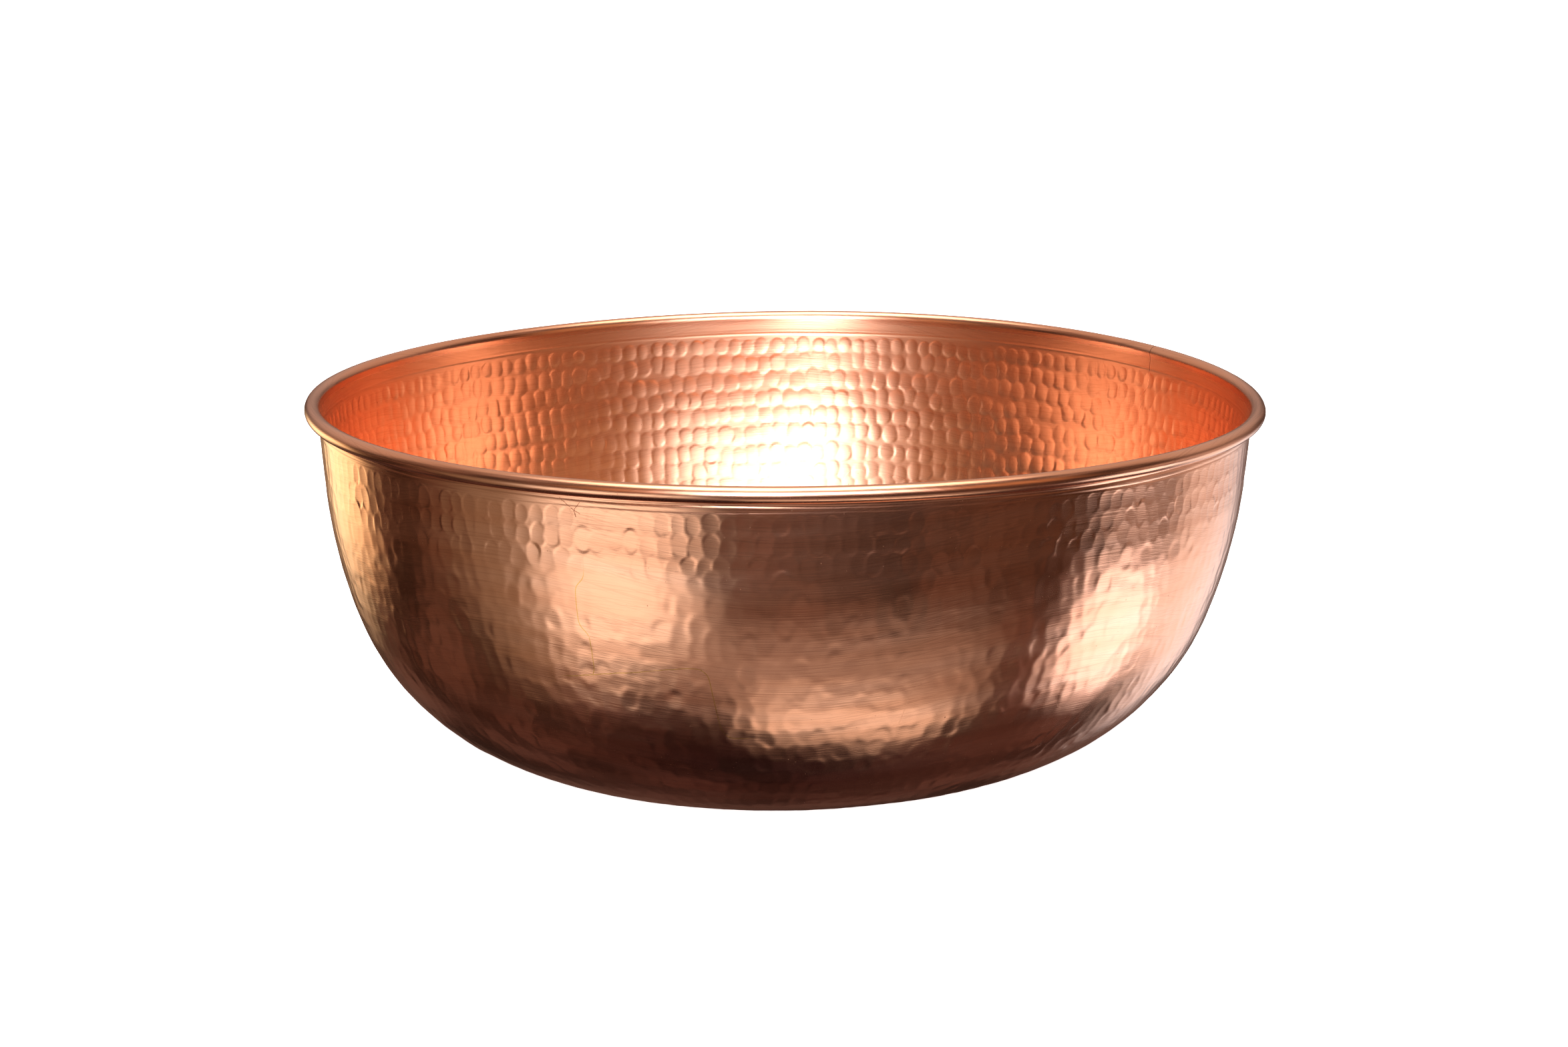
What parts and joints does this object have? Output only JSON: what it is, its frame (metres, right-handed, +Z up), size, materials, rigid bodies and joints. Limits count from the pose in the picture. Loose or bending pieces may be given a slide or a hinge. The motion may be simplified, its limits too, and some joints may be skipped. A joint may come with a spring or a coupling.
{
  "type": "hammered copper bowl",
  "caption": "Round hammered copper bowl with a rolled, wired rim, standing on its flat base.",
  "frame": {"origin": "middle of the flat underside, on the surface the bowl stands on", "axes": "+Z up along the bowl's axis, -Y towards the side with the braze seam at the front left, +X to the right"},
  "size_m": [0.3998, 0.3998, 0.154],
  "materials": {
    "copper": "satin hand-hammered copper with fine polishing scratches",
    "braze": "satin yellow brass braze, filed flush",
    "wire": "plain drawn steel wire"
  },
  "bodies": {
    "root": {"wall_sheet_front_right": "copper", "wall_sheet_back_left": "copper", "base_pan": "copper", "base_seam_braze": "braze", "front_left_seam_braze": "braze", "back_right_seam_braze": "braze", "rim_wire": "wire"}
  },
  "joints": []
}
